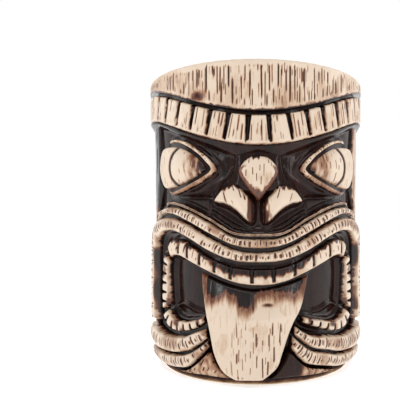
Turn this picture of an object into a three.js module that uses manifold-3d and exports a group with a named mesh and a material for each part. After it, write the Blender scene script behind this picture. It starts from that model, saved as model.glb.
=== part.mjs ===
// A ceramic tiki mug: a plain cup that carries a carved face, with every raised part of the carving as a
// piece of its own. Millimetres, +Z up. The mug stands on z = 0 around the Z axis, and its face looks along -Y.
//
// The face is drawn flat on a sheet and wrapped round the cup. On the sheet, the first number is the arc from
// the middle of the face and the second is the height. Left and right are those of someone facing the mug.

import * as THREE from 'three';
import { mergeVertices } from 'three/addons/utils/BufferGeometryUtils.js';
import Module from 'manifold-3d';

// ---------------------------------------------------------------- driving dimensions

const MUG_HEIGHT = 130;
const RIM_RADIUS = 51;

const CARVING_LOW = 8; // from the rim's radius in to the cup's own surface, at the foot
const CARVING_HIGH = 3; // the same at the rim
const CLEARANCE = 0.3; // between a raised piece and the cup, and between the cup and its foot
const SEAM = 0.5; // between two raised pieces that lie side by side

const FOOT_HEIGHT = 2;
const FOOT_INSET = 6.5; // from the rim's radius in to the foot's outside
const FOOT_WIDTH = 7;
const FOOT_CHAMFER = 0.8;

const FLOOR = 5.5; // thickness of the cup's floor
const RIM_WALL = 2.5;
const EYE_WALL = 6.5;
const MOUTH_WALL = 7.5;
const FLOOR_FILLET = 9;
const BASE_BEVEL = 2.6; // round the cup's lower edge
const RIM_ROUND = 1;
const POCKET_DEPTH = 3.2; // the mouth corners go this much deeper than the cup's surface

const PLANKS = 40; // boards of the headband, all round
const PLANK_GAP = 1.8;
const PLANK_LEAN = 2.2; // how far a gap leans outward between its top and its foot
const NOTCH_DEPTH = 2.2;
const HEADBAND_WIDTH = 13;
const CROWN_GROOVE = 1; // between the hair and the headband
const BROW_GAP = 0.8; // between the headband and the root of the nose

const LIP_GROOVE = 1.1;
const MOUTH_GROOVE = 2; // between the inner lip and the teeth
const LIP_RIDGE = 1.5;

const UPPER_TEETH = 12;
const SIDE_TEETH = 6;
const LOWER_TEETH = 6;
const TOOTH_GAP = 1.6;

// How far each piece stands out from the rim's radius (negative is inside it).
const STANDS = {
  crown: 0,
  headband: 0,
  back: -1.4,
  lip: 0.6,
  lipRidge: 0,
  innerLip: 0.2,
  teeth: -1.4,
  tongue: 1.3,
  jaw: 0,
  eyelid: -0.9,
  eye: -0.2,
  noseRoot: -2.4,
  noseBridge: 1.2,
  nostril: 0.8,
  cheek: -2.6,
};
const ROUNDING = 1.4; // how much lower a rounded band is at its edges than along its middle
const BALL_DOME = 2.6; // how much lower a dome is at its edge than at its middle
const BRIDGE_DOME = 1.8;
const NOSTRIL_DOME = 2.4;
const TONGUE_CROWN = 2; // how much lower the tongue is at its sides
const TONGUE_ROOT_DROP = 2.4;
const TONGUE_TIP_DROP = 2;
const BACK_BOW = 0.6; // how much lower the back is half-way up than at its ends
const JAW_DROP = 3; // how far the jaw draws in at the very foot
const JAW_DROP_HEIGHT = 12;

// The sheet that the face is drawn on, from the top of the foot to the rim.
const SHEET = { foot: 2.3, top: 130, radius: 50 };
const HALF_ROUND = Math.PI * SHEET.radius;

// ---------------------------------------------------------------- from the sheet to the mug

const mix = THREE.MathUtils.lerp;
const clamp = THREE.MathUtils.clamp;

const share = (height) => (height - SHEET.foot) / (SHEET.top - SHEET.foot);
const heightOf = (height) => mix(FOOT_HEIGHT + CLEARANCE, MUG_HEIGHT, share(height));
const cupRadius = (height) => RIM_RADIUS - mix(CARVING_LOW, CARVING_HIGH, share(height));
const seat = (height) => cupRadius(height) + CLEARANCE;

// Merges the shared vertices of a geometry, so that it is one closed body, and turns it inside out if asked.
function closed(geometry, turned = false) {
  geometry.deleteAttribute('normal');
  geometry.deleteAttribute('uv');
  const merged = mergeVertices(geometry, 1e-4);
  const source = merged.getIndex().array;
  const faces = [];
  for (let i = 0; i < source.length; i += 3) {
    const [a, b, c] = source.slice(i, i + 3);
    if (a === b || b === c || c === a) continue;
    faces.push(...(turned ? [a, c, b] : [a, b, c]));
  }
  merged.setIndex(faces);
  merged.computeVertexNormals();
  return merged;
}

// Wraps a geometry round the cup. place turns each of its points into [arc, height, radius], and side -1
// mirrors it to the left.
function wrap(geometry, place, side = 1) {
  const points = geometry.getAttribute('position');
  for (let i = 0; i < points.count; i++) {
    const [arc, height, radius] = place(points.getX(i), points.getY(i), points.getZ(i));
    const turn = (side * arc) / SHEET.radius;
    points.setXYZ(i, radius * Math.sin(turn), -radius * Math.cos(turn), heightOf(height));
  }
  return closed(geometry, side < 0);
}

// A slab between the cup and its own outer skin. sheet(u, v) gives its place on the drawing and skin(u, v)
// its outer radius; u runs to the right and v upward, both from 0 to 1.
function slab(columns, rows, sheet, skin, side = 1, inner = seat) {
  return wrap(
    new THREE.BoxGeometry(1, 1, 1, columns, rows, 1),
    (x, y, z) => {
      const [u, v, w] = [x + 0.5, y + 0.5, z + 0.5];
      const [arc, height] = sheet(u, v);
      return [arc, height, mix(inner(height), skin(u, v), w)];
    },
    side,
  );
}

// A slab that closes on itself behind the mug. sheet and skin take the column's number and v.
function hoop(columns, rows, sheet, skin) {
  const outerSide = Array.from({ length: rows + 1 }, (_, row) => new THREE.Vector2(2, row / rows));
  const section = [new THREE.Vector2(1, 0), ...outerSide, new THREE.Vector2(1, 1), new THREE.Vector2(1, 0)];
  return wrap(new THREE.LatheGeometry(section, columns), (x, y, z) => {
    const column = Math.round((Math.atan2(x, z) / (2 * Math.PI)) * columns + columns) % columns;
    const [arc, height] = sheet(column, y);
    return [arc, height, mix(seat(height), skin(column, y), Math.hypot(x, z) - 1)];
  });
}

// A pad with a free outline, raised from its edge to its middle. skin takes the share of the way from the
// middle to the edge.
function pad(outline, middle, skin, side = 1, inner = seat) {
  const ROUND = 28;
  const RINGS = 3;
  const reaches = Array.from({ length: RINGS + 1 }, (_, ring) => ring / RINGS);
  const section = reaches.map((reach) => new THREE.Vector2(reach, 0));
  section.push(...reaches.reverse().map((reach) => new THREE.Vector2(reach, 1)));
  return wrap(
    new THREE.LatheGeometry(section, ROUND),
    (x, y, z) => {
      const reach = Math.hypot(x, z);
      const turn = Math.atan2(x, z) / (2 * Math.PI);
      const edge = outline.getPoint((turn + 1) % 1);
      const arc = mix(middle[0], edge.x, reach);
      const height = mix(middle[1], edge.y, reach);
      return [arc, height, mix(inner(height), skin(reach), y)];
    },
    side,
  );
}

// ---------------------------------------------------------------- lines of the drawing

const curve = (points) => new THREE.SplineCurve(points.map((point) => new THREE.Vector2(...point)));
const lifted = (points, by) => points.map(([arc, height]) => [arc, height + by]);

// The same line on both halves of the face, from left to right, out of its right half.
const bothHalves = (right) => [...right.slice(1).reverse().map(([arc, height]) => [-arc, height]), ...right];

// The sheet of a slab between two lines that run to the right, or that run upward.
const between = (low, high) => {
  const [lower, upper] = [curve(low), curve(high)];
  return (u, v) => lower.getPoint(u).lerp(upper.getPoint(u), v).toArray();
};
const beside = (left, right) => {
  const [near, far] = [curve(left), curve(right)];
  return (u, v) => near.getPoint(v).lerp(far.getPoint(v), u).toArray();
};

// A brow line: level at the middle of the face, swinging up to a level line round the back.
const browLine = (middle, rise, reach) => (arc) =>
  middle + (rise * (1 - Math.cos(Math.PI * Math.min(Math.abs(arc) / reach, 1)))) / 2;
const crownLine = browLine(109, 16, 70);

const LIP_TOP = [[0, 61.5], [10, 62.3], [20, 67.8], [30, 72.3], [40, 74.7], [50, 73.2], [56, 71]];
const LIP_LINE = [[0, 54.6], [10, 55.8], [20, 60.2], [30, 65], [40, 68.4], [50, 68.3], [60, 65.6]];
const TEETH_LINE = [[0, 47.5], [10, 48.2], [20, 51.5], [30, 56.5], [36, 59]];
const TEETH_TOP = [...TEETH_LINE, [41.5, 58.9], [46, 56.2]];
const TEETH_FOOT = [[0, 40.3], [10, 41.5], [20, 45], [30, 49], [36, 51.2], [40.6, 51.6], [43, 50.4]];

const round = (v) => (2 * v - 1) ** 2;
const outTo = (part) => RIM_RADIUS + STANDS[part];

// ---------------------------------------------------------------- the cup and its foot

function pocket(side) {
  const low = [[25.5, 29.5], [33, 28], [42, 28.5]];
  const high = [[25.5, 45], [33, 48.5], [42, 50]];
  const floorRadius = (height) => cupRadius(height) - POCKET_DEPTH;
  return slab(8, 4, between(low, high), () => RIM_RADIUS, side, floorRadius);
}

async function cup() {
  const underside = FOOT_HEIGHT + CLEARANCE;
  const floorTop = underside + FLOOR;
  const wallFoot = cupRadius(SHEET.foot);
  const inside = (height, wall) => new THREE.Vector2(cupRadius(height) - wall, heightOf(height));
  const rim = new THREE.Vector2(cupRadius(SHEET.top), MUG_HEIGHT);
  const filletMiddle = [wallFoot - MOUTH_WALL - FLOOR_FILLET, floorTop + FLOOR_FILLET];
  const fillet = new THREE.EllipseCurve(...filletMiddle, FLOOR_FILLET, FLOOR_FILLET, 0, -Math.PI / 2, true);
  const profile = [
    new THREE.Vector2(0, underside),
    new THREE.Vector2(wallFoot - BASE_BEVEL, underside),
    new THREE.Vector2(wallFoot, underside + BASE_BEVEL),
    new THREE.Vector2(rim.x, rim.y - RIM_ROUND / 2),
    new THREE.Vector2(rim.x - RIM_ROUND / 2, rim.y),
    new THREE.Vector2(rim.x - RIM_WALL + RIM_ROUND, rim.y),
    new THREE.Vector2(rim.x - RIM_WALL, rim.y - RIM_ROUND),
    inside(118, (RIM_WALL + EYE_WALL) / 2),
    inside(104, EYE_WALL),
    inside(72, EYE_WALL),
    inside(60, MOUTH_WALL),
    ...fillet.getPoints(4),
    new THREE.Vector2(0, floorTop),
  ];
  const lathed = new THREE.LatheGeometry(profile, 60);
  lathed.rotateX(Math.PI / 2);
  return cut(closed(lathed), [pocket(1), pocket(-1)]);
}

async function cut(body, tools) {
  const wasm = await Module();
  wasm.setup();
  const solid = (geometry) =>
    new wasm.Manifold(new wasm.Mesh({
      numProp: 3,
      vertProperties: new Float32Array(geometry.getAttribute('position').array),
      triVerts: new Uint32Array(geometry.getIndex().array),
    }));
  const left = tools.reduce((rest, tool) => rest.subtract(solid(tool)), solid(body)).getMesh();
  const geometry = new THREE.BufferGeometry();
  geometry.setAttribute('position', new THREE.BufferAttribute(left.vertProperties, 3));
  geometry.setIndex(Array.from(left.triVerts));
  geometry.computeVertexNormals();
  return geometry;
}

function foot() {
  const outer = RIM_RADIUS - FOOT_INSET;
  const inner = outer - FOOT_WIDTH;
  const profile = [
    [inner, FOOT_HEIGHT], [inner, FOOT_CHAMFER], [inner + FOOT_CHAMFER, 0],
    [outer - FOOT_CHAMFER, 0], [outer, FOOT_CHAMFER], [outer, FOOT_HEIGHT], [inner, FOOT_HEIGHT],
  ].map(([radius, height]) => new THREE.Vector2(radius, height));
  const lathed = new THREE.LatheGeometry(profile, 48);
  lathed.rotateX(Math.PI / 2);
  return closed(lathed);
}

// ---------------------------------------------------------------- bands round the whole mug

function crown() {
  const COLUMNS = 64;
  const arcOf = (column) => ((column / COLUMNS) * 2 - (column > COLUMNS / 2 ? 2 : 0)) * HALF_ROUND;
  const sheet = (column, v) => {
    const arc = arcOf(column);
    return [arc, mix(crownLine(arc) + CROWN_GROOVE / 2, SHEET.top, v)];
  };
  return hoop(COLUMNS, 3, sheet, (column, v) => outTo('crown') - (v === 1 || v === 0 ? RIM_ROUND : 0));
}

// Columns come in threes along a notched band: the bottom of a notch, then the two ends of the piece
// beside it. Gives the column's place in steps of one piece.
const notched = (column, gap) => Math.floor(column / 3) + [0, gap / 2, 1 - gap / 2][column % 3];

function headband() {
  const COLUMNS = PLANKS * 3;
  const pitch = (2 * HALF_ROUND) / PLANKS;
  const middleOf = (column) => {
    const arc = (notched(column, PLANK_GAP / pitch) + 0.5) * pitch;
    return arc > HALF_ROUND ? arc - 2 * HALF_ROUND : arc;
  };
  const sheet = (column, v) => {
    const lean = PLANK_LEAN * clamp(5 * Math.sin(middleOf(column) / SHEET.radius), -1, 1);
    const arc = middleOf(column) + lean * (1 - v);
    return [arc, mix(crownLine(arc) - HEADBAND_WIDTH, crownLine(arc) - CROWN_GROOVE / 2, v)];
  };
  const skin = (column, v) => {
    const notch = column % 3 === 0 && v > 0 ? NOTCH_DEPTH : 0;
    return outTo('headband') - notch - (v === 0 ? ROUNDING / 2 : 0);
  };
  return hoop(COLUMNS, 4, sheet, skin);
}

// The back runs behind the mug from one eye to the other, and steps back to clear the lips.
function back() {
  const edge = [[70, 3], [70, 30], [70, 60], [67.5, 66.5], [61, 71.5], [56.5, 80], [56, 95], [57, 109.5]];
  const farEdge = edge.map(([arc, height]) => [2 * HALF_ROUND - arc, height]);
  const sheet = (u, v) => {
    const [arc, height] = beside(edge, farEdge)(u, v);
    const top = crownLine(arc > HALF_ROUND ? 2 * HALF_ROUND - arc : arc) - HEADBAND_WIDTH - SEAM;
    return [arc, mix(height, top, clamp((v - 0.75) / 0.25, 0, 1))];
  };
  const skin = (u, v) => outTo('back') - ROUNDING * (v === 0 ? 1 : 0) - BACK_BOW * Math.sin(Math.PI * v);
  return slab(30, 14, sheet, skin);
}

// ---------------------------------------------------------------- eyes and nose

// The eyelid is a band that runs from the outer end of the eye over its top to the inner corner, and back
// along its foot.
const LID_OUTER = [
  [46.5, 100.2], [41, 101.2], [33, 99.6], [25, 95], [20, 91],
  [17.4, 86.5], [24, 82], [32, 79], [40, 77.2], [46, 78.2],
];
const LID_INNER = [
  [46, 98.9], [41, 99.4], [33.6, 97.7], [26.4, 93.6], [22.6, 90.2],
  [20.2, 86.9], [25.4, 83.8], [33, 80.9], [40, 79.2], [45.4, 79.7],
];
const eyelid = (side) => slab(30, 1, between(LID_OUTER, LID_INNER), () => outTo('eyelid'), side);

const EYE_MIDDLE = [37, 89];
const BALL = [
  [21.4, 87], [26, 84.9], [33, 82.2], [40, 80.4], [46.6, 80.6], [51.4, 88.6],
  [48.8, 97], [41.2, 98.3], [33.8, 96.6], [27, 92.7], [23.6, 90], [21.4, 87],
];
const eyeball = (side) =>
  pad(curve(BALL), EYE_MIDDLE, (reach) => outTo('eye') - BALL_DOME * reach ** 2, side);

const rootRadius = RIM_RADIUS + STANDS.noseRoot;

function noseRoot() {
  const top = crownLine(0) - HEADBAND_WIDTH - BROW_GAP;
  const right = [[9.6, 82.2], [9.2, mix(82.2, top, 0.45)], [9.6, top]];
  const left = right.map(([arc, height]) => [-arc, height]);
  return slab(6, 3, beside(left, right), () => rootRadius);
}

function noseBridge() {
  const right = [[3.5, 77.4], [7, 82.3], [8.6, 86], [6.3, 89.8], [2.7, 92.1]];
  const left = right.map(([arc, height]) => [-arc, height]).reverse();
  const outline = curve([[0, 73.6], ...right, ...left, [0, 73.6]]);
  const skin = (reach) => outTo('noseBridge') - BRIDGE_DOME * reach ** 2;
  return pad(outline, [0, 85], skin, 1, () => rootRadius + CLEARANCE);
}

function nostril(side) {
  const outline = curve([
    [2.4, 64.3], [5.4, 66.6], [9.5, 70.4], [14, 72.9], [18.7, 74], [16.8, 77.4],
    [13.6, 80.2], [10.3, 81.3], [8.2, 80.6], [5.4, 77.7], [2.4, 74], [2, 69.5], [2.4, 64.3],
  ]);
  return pad(outline, [8.4, 75], (reach) => outTo('nostril') - NOSTRIL_DOME * reach ** 2, side);
}

function cheek(side) {
  const low = [[21, 69.5], [30, 73.3], [39, 75.5]];
  const high = [[20.5, 75.6], [30, 76], [39, 76.5]];
  return slab(8, 2, between(low, high), () => outTo('cheek'), side);
}

// ---------------------------------------------------------------- lips

function lipRidge() {
  const top = bothHalves(LIP_TOP);
  return slab(40, 1, between(lifted(top, -LIP_RIDGE), top), () => outTo('lipRidge'));
}

function lip() {
  const high = lifted(LIP_TOP, -LIP_RIDGE - SEAM);
  const low = lifted(LIP_LINE, LIP_GROOVE / 2);
  return slab(40, 3, between(bothHalves(low), bothHalves(high)), (u, v) => outTo('lip') - ROUNDING * round(v));
}

// The inner lip passes over the teeth and comes down beside the mouth to the jaw.
function innerLip() {
  const side = [[67.5, 60], [68.6, 52], [68.8, 42], [68.8, 32], [68.2, 21.5]];
  const outer = [...lifted(LIP_LINE, -LIP_GROOVE / 2), ...side];
  const mouth = [[41, 62.2], [46.5, 62.2], [52, 60.4], [56.5, 55], [58.5, 45], [58.5, 33], [58.3, 21.5]];
  const inner = [...lifted(TEETH_LINE, MOUTH_GROOVE), ...mouth];
  const skin = (u, v) => outTo('innerLip') - ROUNDING * round(v);
  return slab(56, 3, between(bothHalves(inner), bothHalves(outer)), skin);
}

// ---------------------------------------------------------------- teeth, tongue and jaw

// A row of teeth between two lines, parted by notches.
function teethRow(count, low, high, side = 1) {
  const columns = count * 3;
  const span = new THREE.Vector2(...high[0]).distanceTo(new THREE.Vector2(...high[high.length - 1]));
  const gap = (TOOTH_GAP * count) / span;
  const along = (u) => clamp(notched(Math.round(u * columns), gap) / count, 0, 1);
  const row = between(low, high);
  const skin = (u, v) => {
    const column = Math.round(u * columns);
    const notch = column % 3 === 0 && column > 0 && column < columns;
    return outTo('teeth') - (notch ? NOTCH_DEPTH : 0) - (ROUNDING / 2) * round(v);
  };
  return slab(columns, 2, (u, v) => row(along(u), v), skin, side);
}

const upperTeeth = () => teethRow(UPPER_TEETH, bothHalves(TEETH_FOOT), bothHalves(TEETH_TOP));

// The side teeth climb from the lower row to the upper one, so their row runs from the top down.
const SIDE_INNER = [[43.9, 49], [44.8, 44], [44.9, 38], [44.4, 33], [44.6, 30.2]];
const SIDE_OUTER = [[48.3, 54.2], [50.2, 47.5], [50.7, 40], [51, 33], [50.6, 27.4]];
const sideTeeth = (side) => teethRow(SIDE_TEETH, SIDE_INNER, SIDE_OUTER, side);

// The tongue leans to the left, so what lies beside it starts further out there. bySide picks the side's own.
const bySide = (side, { left, right }) => (side < 0 ? left : right);

const LOWER_START = { left: 23.2, right: 18.8 };
const LOWER_FOOT = [[28, 21.9], [36, 19.8], [44.5, 20.6], [50.2, 25.4]];
const LOWER_TOP = [[28, 26], [36, 24.9], [41.5, 25.9], [45, 28.8]];

const lowerTeeth = (side) => {
  const start = bySide(side, LOWER_START);
  return teethRow(LOWER_TEETH, [[start, 25], ...LOWER_FOOT], [[start, 28], ...LOWER_TOP], side);
};

const TONGUE_LEFT = [[-9.2, 2.6], [-15.4, 6], [-19.2, 13], [-21.2, 22], [-23.4, 31], [-25.2, 38], [-26, 43]];
const TONGUE_RIGHT = [[1.8, 2.6], [8.3, 8], [10.6, 14], [14.2, 24], [18.6, 31], [20.8, 36], [22.6, 41.6]];
const TONGUE_ROOT = [[-26, 45.6], [-14, 41.6], [0, 39.4], [12, 41.2], [22.6, 44.4]];

function tongue() {
  const root = curve(TONGUE_ROOT);
  const flat = beside(TONGUE_LEFT, TONGUE_RIGHT);
  const sheet = (u, v) => {
    const [arc, height] = flat(u, v);
    return [arc, height + (root.getPoint(u).y - flat(u, 1)[1]) * clamp(2 * v - 1, 0, 1)];
  };
  const drop = (v) => TONGUE_ROOT_DROP * clamp((v - 0.6) / 0.4, 0, 1) + TONGUE_TIP_DROP * (1 - v) ** 4;
  return slab(10, 10, sheet, (u, v) => outTo('tongue') - TONGUE_CROWN * round(u) - drop(v));
}

// The jaw: two bands that sweep from beside the tongue round to the sides, between three lines.
const JAW_LINES = [
  {
    left: [[22.4, 23.4], [25, 22.4], [28.5, 21.2]],
    right: [[15.4, 24.8], [19, 22.2], [24, 20.2]],
    both: [[33, 19.2], [40, 18.3], [46, 18], [52, 18.5], [60, 19.6], [68.6, 20.4]],
  },
  {
    left: [[21.5, 18.6], [24, 16.6], [27, 14.6]],
    right: [[14.4, 20.6], [18.8, 17], [23.8, 14]],
    both: [[31, 12.3], [38, 10.5], [45, 9.8], [52, 9.5], [60, 9.5], [68.6, 9.6]],
  },
  {
    left: [[20.6, 15.4], [23.4, 12.4], [27.4, 9]],
    right: [[13.2, 15.4], [16.8, 11], [21.8, 7.5]],
    both: [[33, 5], [40, 3.5], [46, 2.9], [52, 2.8], [60, 2.8], [68.6, 2.8]],
  },
];
const jawLine = (index, side) => [...bySide(side, JAW_LINES[index]), ...JAW_LINES[index].both];
const jawDrop = (height) => JAW_DROP * clamp(1 - (height - SHEET.foot) / JAW_DROP_HEIGHT, 0, 1) ** 2;

function jawBand(index, side) {
  const sheet = between(lifted(jawLine(index + 1, side), SEAM / 2), lifted(jawLine(index, side), -SEAM / 2));
  const skin = (u, v) => outTo('jaw') - ROUNDING * round(v) - jawDrop(sheet(u, v)[1]);
  return slab(24, 2, sheet, skin, side);
}

// A fan of clay fills the corner between the tongue's tip and the lower jaw band.
const FAN_NEAR = {
  left: [[11.4, 2.6], [16.2, 6.4], [19, 10.4], [20.4, 13.6]],
  right: [[4.4, 2.6], [8.2, 6.4], [10.6, 10.6], [12.2, 14.4]],
};
const FAN_FAR = {
  left: [[41, 2.6], [34, 4.1], [27.2, 8.2], [21.6, 13.2]],
  right: [[41, 2.6], [31, 4.6], [21.4, 6.9], [13.8, 13.4]],
};

function jawFan(side) {
  const sheet = beside(bySide(side, FAN_NEAR), bySide(side, FAN_FAR));
  return slab(8, 4, sheet, (u, v) => outTo('jaw') - ROUNDING - jawDrop(sheet(u, v)[1]), side);
}

// ---------------------------------------------------------------- materials and assembly

const glaze = (color, roughness) => new THREE.MeshStandardMaterial({ color, roughness, metalness: 0 });
const sandGlaze = glaze('#e0cfb0', 0.22);
const sandGlazeDeep = glaze('#d2b98f', 0.22);
const darkGlaze = glaze('#3c2018', 0.14);
const cupGlaze = glaze('#44302a', 0.14);
const bareClay = glaze('#cdbb9c', 0.85);

const mug = new THREE.Group();

function add(name, geometry, material) {
  const mesh = new THREE.Mesh(geometry, material);
  mesh.name = name;
  mug.add(mesh);
}

add('cup', await cup(), cupGlaze);
add('foot_ring', foot(), bareClay);
add('hair_crown', crown(), sandGlaze);
add('headband', headband(), sandGlaze);
add('back_panel', back(), sandGlazeDeep);
add('nose_root', noseRoot(), darkGlaze);
add('nose_bridge', noseBridge(), sandGlaze);
add('lip_ridge', lipRidge(), sandGlazeDeep);
add('lip', lip(), sandGlaze);
add('inner_lip', innerLip(), sandGlaze);
add('upper_teeth', upperTeeth(), sandGlaze);
add('tongue', tongue(), sandGlaze);

for (const [sideName, side] of [['left', -1], ['right', 1]]) {
  add(`eyelid_${sideName}`, eyelid(side), sandGlazeDeep);
  add(`eyeball_${sideName}`, eyeball(side), sandGlaze);
  add(`nostril_${sideName}`, nostril(side), sandGlaze);
  add(`cheek_${sideName}`, cheek(side), darkGlaze);
  add(`side_teeth_${sideName}`, sideTeeth(side), sandGlaze);
  add(`lower_teeth_${sideName}`, lowerTeeth(side), sandGlaze);
  add(`jaw_upper_${sideName}`, jawBand(0, side), sandGlaze);
  add(`jaw_lower_${sideName}`, jawBand(1, side), sandGlaze);
  add(`jaw_fan_${sideName}`, jawFan(side), darkGlaze);
}

export default mug;
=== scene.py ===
"""A glazed tiki mug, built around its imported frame.

The carving is drawn on a flat sheet and wrapped round the cup. A place on the sheet is (s, z): s is the arc
from the middle of the face, in millimetres at SHEET_RADIUS, and z is the height. A third number, r, is the
distance from the mug's axis. Every piece is a grid of such places, worked out as whole arrays.
"""
import math

import bmesh
import bpy
import numpy as np
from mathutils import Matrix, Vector


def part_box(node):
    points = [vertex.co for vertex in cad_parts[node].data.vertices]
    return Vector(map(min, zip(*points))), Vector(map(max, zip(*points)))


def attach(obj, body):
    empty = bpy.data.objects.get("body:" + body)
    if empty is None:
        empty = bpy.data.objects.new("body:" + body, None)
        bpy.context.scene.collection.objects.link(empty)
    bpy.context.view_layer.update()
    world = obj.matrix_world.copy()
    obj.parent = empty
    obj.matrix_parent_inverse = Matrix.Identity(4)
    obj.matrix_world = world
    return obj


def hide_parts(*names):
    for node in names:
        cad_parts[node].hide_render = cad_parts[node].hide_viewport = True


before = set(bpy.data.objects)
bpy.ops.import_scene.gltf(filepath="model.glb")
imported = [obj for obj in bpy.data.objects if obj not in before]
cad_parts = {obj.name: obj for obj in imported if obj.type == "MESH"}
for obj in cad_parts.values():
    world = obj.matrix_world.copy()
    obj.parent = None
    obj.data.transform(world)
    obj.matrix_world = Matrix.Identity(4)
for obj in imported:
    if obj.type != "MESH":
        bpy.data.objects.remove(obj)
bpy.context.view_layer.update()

# -------- sizes, in millimetres

MM = 1000.0
RIM_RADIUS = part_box("hair_crown")[1].x * MM
MUG_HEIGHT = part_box("hair_crown")[1].z * MM
FOOT_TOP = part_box("cup")[0].z * MM
FOOT_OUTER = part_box("foot_ring")[1].x * MM

SHEET_RADIUS = 50.0
SHEET_FOOT, SHEET_TOP = 2.3, 130.0
HALF_ROUND = math.pi * SHEET_RADIUS
FULL_ROUND = 2 * HALF_ROUND
CARVING_LOW, CARVING_HIGH = 8.0, 3.0  # from the rim's radius in to the cup's own surface
SINK = 0.8  # how far the edge of a raised piece lies under the cup's surface
BACKING = 0.6  # thickness of a raised piece behind its edge
SKIN_GAP = 0.04  # the fine surface stays this much inside the plain one


def ease(t):
    """Goes smoothly from 0 to 1 as t does."""
    t = np.clip(t, 0.0, 1.0)
    return t * t * (3.0 - 2.0 * t)


def mix(a, b, t):
    """Straight from a to b as t goes from 0 to 1."""
    return a + (b - a) * t


def height_of(z):
    """Stretches the sheet's height between the foot and the rim."""
    return mix(FOOT_TOP, MUG_HEIGHT, (z - SHEET_FOOT) / (SHEET_TOP - SHEET_FOOT))


def cup_radius(z):
    """The cup's own outer radius: a straight taper from the foot to the rim."""
    return RIM_RADIUS - mix(CARVING_LOW, CARVING_HIGH, (z - SHEET_FOOT) / (SHEET_TOP - SHEET_FOOT))


def on_mug(s, z, r):
    """Wraps places on the sheet round the mug's axis. Gives metres."""
    turn = s / SHEET_RADIUS
    return np.stack([r * np.sin(turn), -r * np.cos(turn), height_of(z)], axis=-1) / MM


# -------- repeatable roughness

def hashed(*keys):
    """A repeatable number from 0 to 1 for each set of whole numbers: the fraction of a large sine."""
    total = sum(key * rate for key, rate in zip(keys, (12.9898, 78.233, 37.719, 93.989)))
    return np.abs(np.modf(np.sin(total) * 43758.5453)[0])


def noise(x, y, seed):
    """Smooth noise from 0 to 1: random values on the unit grid, eased from one to the next."""
    i, j = np.floor(x), np.floor(y)
    fx, fy = ease(x - i), ease(y - j)
    low = mix(hashed(i, j, seed), hashed(i + 1, j, seed), fx)
    high = mix(hashed(i, j + 1, seed), hashed(i + 1, j + 1, seed), fx)
    return mix(low, high, fy)


def chosen(low, high, *keys):
    """A repeatable number between low and high for each set of whole numbers."""
    return mix(low, high, hashed(*keys))


def scratches(across, along, seed, pitch, reach, keep, width):
    """Cuts that run along one direction, as depths from 0 to 1.

    The plane is parted into columns `pitch` wide, and each column into cells `reach` long that start at its
    own offset. A cell holds one cut with the chance `keep`, at its own place, lean, length and width. The
    depth is a bell across the cut, and it tapers to both ends.
    """
    column = np.floor(across / pitch)
    start = along / reach + hashed(column, seed) * 7.0
    cell = np.floor(start)
    t = start - cell
    lean = chosen(-0.22, 0.22, column, cell, seed + 2.0)
    centre = chosen(0.28, 0.72, column, cell, seed + 1.0) + (t - 0.5) * lean
    first = chosen(0.02, 0.35, column, cell, seed + 3.0)
    last = chosen(0.6, 0.98, column, cell, seed + 4.0)
    wide = width * chosen(0.6, 1.25, column, cell, seed + 5.0)
    taper = ease((t - first) / 0.12) * ease((last - t) / 0.12)
    bell = np.exp(-(((across / pitch - column) - centre) * pitch / wide) ** 2)
    return bell * taper * (hashed(column, cell, seed + 6.0) < keep)


def ticks(along, v, seed, pitch, keep, width):
    """Short cuts square across a band, as depths from 0 to 1: one in each step of `pitch` along it with the
    chance `keep`. Each starts and ends at its own shares of the band's width."""
    column = np.floor(along / pitch)
    centre = chosen(0.25, 0.75, column, seed) + (v - 0.5) * chosen(-0.2, 0.2, column, seed + 1.0)
    low, high = chosen(0.08, 0.34, column, seed + 2.0), chosen(0.6, 0.95, column, seed + 3.0)
    wide = width * chosen(0.6, 1.3, column, seed + 4.0)
    bell = np.exp(-(((along / pitch - column) - centre) * pitch / wide) ** 2)
    return bell * ease((v - low) / 0.15) * ease((high - v) / 0.15) * (hashed(column, seed + 5.0) < keep)


# -------- lines of the drawing

def curve(points, t):
    """The smooth line through given points (Catmull-Rom), with t from 0 to 1 along it."""
    p = np.asarray(points, float)
    last = len(p) - 1
    x = np.clip(np.asarray(t, float), 0.0, 1.0) * last
    i = np.minimum(x.astype(int), last - 1)
    f = (x - i)[..., None]
    a, b, c, d = p[np.maximum(i - 1, 0)], p[i], p[i + 1], p[np.minimum(i + 2, last)]
    return 0.5 * (2 * b + (c - a) * f + (2 * a - 5 * b + 4 * c - d) * f**2 + (3 * b - a - 3 * c + d) * f**3)


def lifted(points, by):
    return [(s, z + by) for s, z in points]


def mirrored(points):
    """The same line on the face's other half, run the other way."""
    return [(-s, z) for s, z in reversed(points)]


def both_halves(right):
    """The line over the whole face, from left to right, out of its right half."""
    return mirrored(right[1:]) + right


def closed_over(foot, side):
    """A closed outline out of its lowest place and its right side."""
    return [foot] + side + mirrored(side) + [foot]


def between(low, high):
    """A sheet between two lines that run to the right: straight from one to the other at each u."""
    return lambda u, v: mix(curve(low, u), curve(high, u), v[..., None])


def beside(left, right):
    """A sheet between two lines that run upward: straight from one to the other at each v."""
    return lambda u, v: mix(curve(left, v), curve(right, v), u[..., None])


def crown_line(s):
    """The groove between hair and headband: low over the nose, level round the back."""
    return 109.0 + 8.0 * (1.0 - np.cos(np.pi * np.minimum(np.abs(s) / 70.0, 1.0)))


HEADBAND_WIDTH = 13.0
CROWN_GROOVE = 1.0
LIP_GROOVE = 1.1
MOUTH_GROOVE = 2.0
LIP_RIDGE = 1.5
SEAM = 0.5


def band_foot(s):
    """The headband's lower edge, which keeps its width below the groove."""
    return crown_line(s) - HEADBAND_WIDTH


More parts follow.
